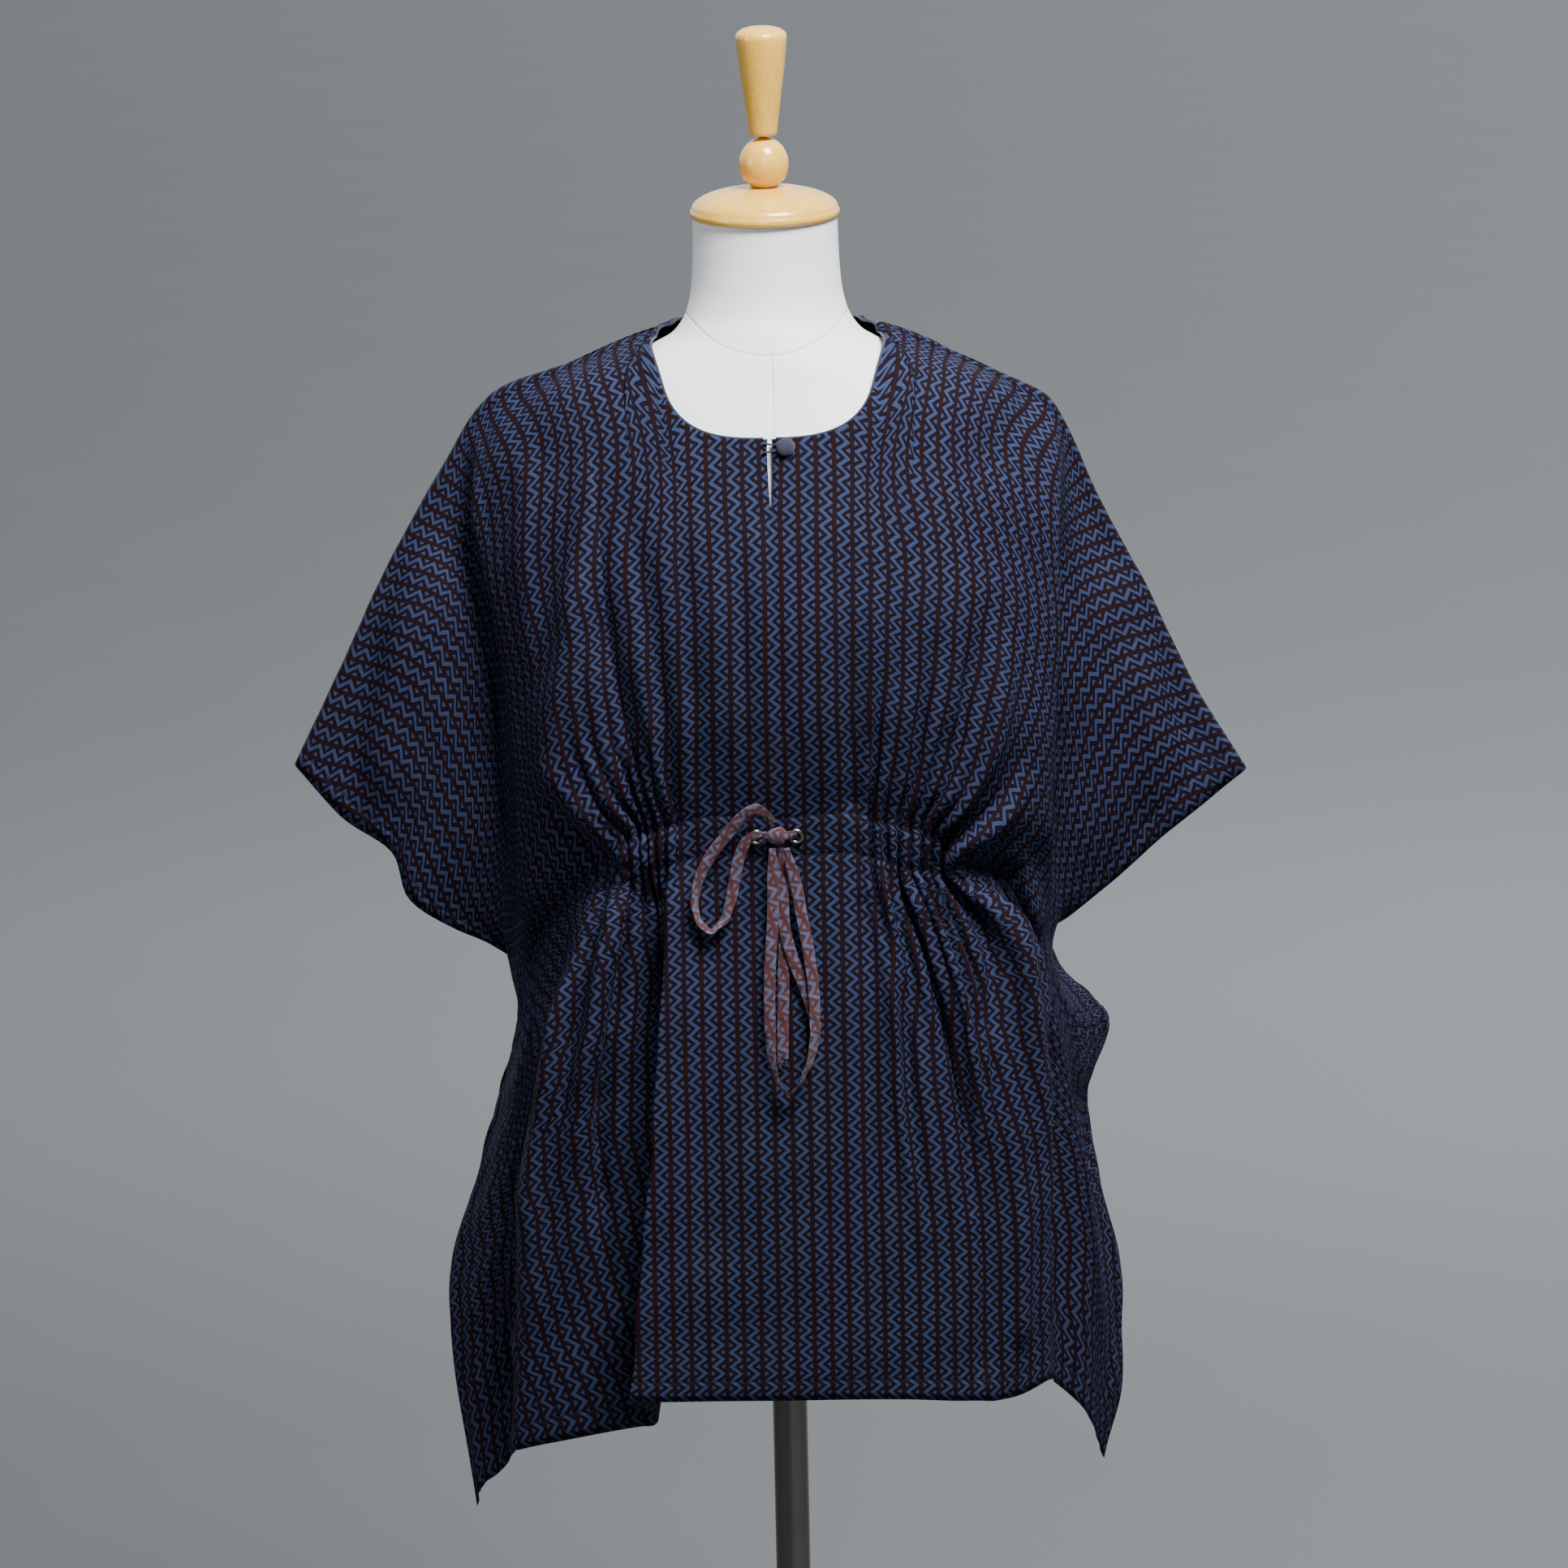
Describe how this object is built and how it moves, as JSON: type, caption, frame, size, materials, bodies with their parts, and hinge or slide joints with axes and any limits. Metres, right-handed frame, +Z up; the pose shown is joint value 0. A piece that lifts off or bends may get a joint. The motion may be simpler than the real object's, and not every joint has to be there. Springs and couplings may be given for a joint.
{
  "type": "short kaftan on a limbless dress form",
  "caption": "Loose T-shaped short kaftan with a keyhole neck, drawn in by a waist tie, worn on a limbless dress form on a round-based pole stand.",
  "frame": {"origin": "middle of the base plate's underside, on the floor", "axes": "+Z up along the pole, -Y the wearer's front, +X the viewer's right when looking at the front"},
  "size_m": [0.6738, 0.34, 1.6174],
  "materials": {
    "printed_cotton": "soft matt printed cotton voile, navy ground with blue zigzags and thin maroon stripes",
    "covered_button": "button and loop covered in dark navy self cloth",
    "eyelet_metal": "dark nickel finish on pressed brass",
    "tie_tape": "woven cotton tape, brick red with mauve-blue motifs",
    "form_cover": "white stretched cover over a padded shell",
    "varnished_wood": "pale clear-varnished beech",
    "polished_steel": "polished steel tube, collar and plate"
  },
  "bodies": {
    "root": {"front_panel": "printed_cotton", "back_panel": "printed_cotton", "neck_binding": "printed_cotton", "button": "covered_button", "button_loop": "covered_button", "eyelet_left": "eyelet_metal", "eyelet_right": "eyelet_metal", "tie_knot": "tie_tape", "tie_loop_left": "tie_tape", "tie_loop_long": "tie_tape", "tie_tail_a": "tie_tape", "tie_tail_b": "tie_tape", "form_torso": "form_cover", "neck_cap": "varnished_wood", "cap_ball": "varnished_wood", "cap_handle": "varnished_wood", "pole": "polished_steel", "base_collar": "polished_steel", "base_plate": "polished_steel"}
  },
  "joints": []
}
